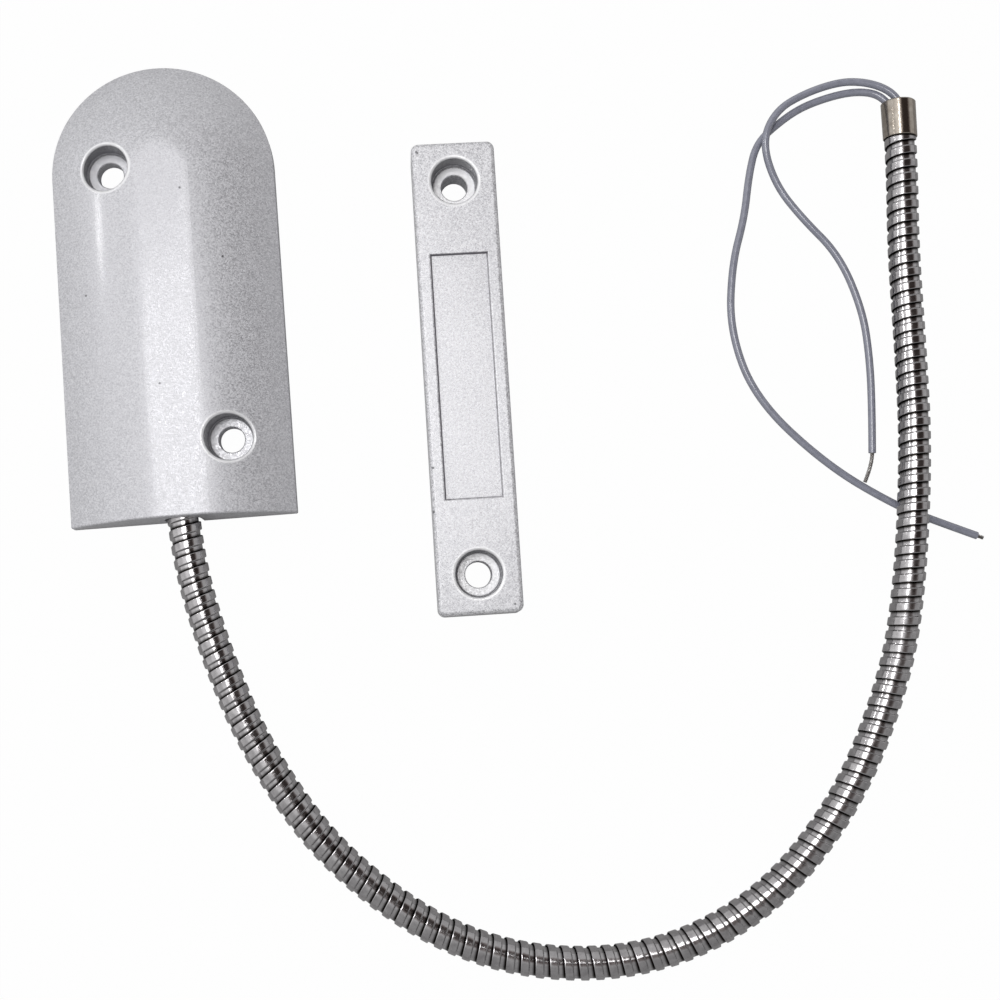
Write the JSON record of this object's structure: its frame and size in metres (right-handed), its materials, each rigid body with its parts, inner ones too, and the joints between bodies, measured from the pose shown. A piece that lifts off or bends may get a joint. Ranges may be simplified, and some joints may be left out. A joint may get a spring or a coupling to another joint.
{
  "type": "door alarm sensor",
  "caption": "Surface-mount magnetic door contact: crowned D-shaped switch unit with an armoured lead and two bare-ended wires, and a bar-shaped magnet unit.",
  "frame": {"origin": "midway between the switch housing's two screw holes, on its mounting face", "axes": "+Z out of the mounting face, +Y along the switch housing to its round end, +X across it towards the magnet unit"},
  "size_m": [0.2072, 0.2133, 0.0117],
  "materials": {
    "housing_paint": "satin silver-grey metallic paint on a die casting",
    "magnet_case_paint": "satin silver-grey metallic paint on a die casting",
    "stainless_strip": "rolled stainless strip, interlocked",
    "nickel_plated_brass": "bright nickel plate",
    "zinc_plated_steel": "zinc plated",
    "grey_pvc": "smooth grey PVC insulation",
    "tinned_copper": "bare stranded copper",
    "black_epoxy": "self-levelled potting resin",
    "black_bush_plastic": "moulded nylon",
    "black_heat_shrink": "shrunk polyolefin tube",
    "clear_silicone": "soft translucent silicone",
    "reed_glass": "clear green-tinted glass",
    "nickel_iron": "plated nickel-iron wire",
    "solder": "tin solder",
    "ferrite": "sintered ferrite"
  },
  "bodies": {
    "root": {"switch_housing": "housing_paint", "switch_potting": "black_epoxy", "reed_capsule": "reed_glass", "reed_blade_a": "nickel_iron", "reed_blade_b": "nickel_iron", "reed_buffer_sleeve": "clear_silicone", "solder_joint_a": "solder", "solder_joint_b": "solder", "joint_sleeve_a": "black_heat_shrink", "joint_sleeve_b": "black_heat_shrink", "hose_crimp_ring": "zinc_plated_steel", "armoured_conduit": "stainless_strip", "end_ferrule": "nickel_plated_brass", "ferrule_bush": "black_bush_plastic", "wire_a": "grey_pvc", "wire_b": "grey_pvc", "wire_a_strands": "tinned_copper", "wire_b_strands": "tinned_copper", "magnet_case": "magnet_case_paint", "magnet_bar": "ferrite", "magnet_potting": "black_epoxy"}
  },
  "joints": []
}
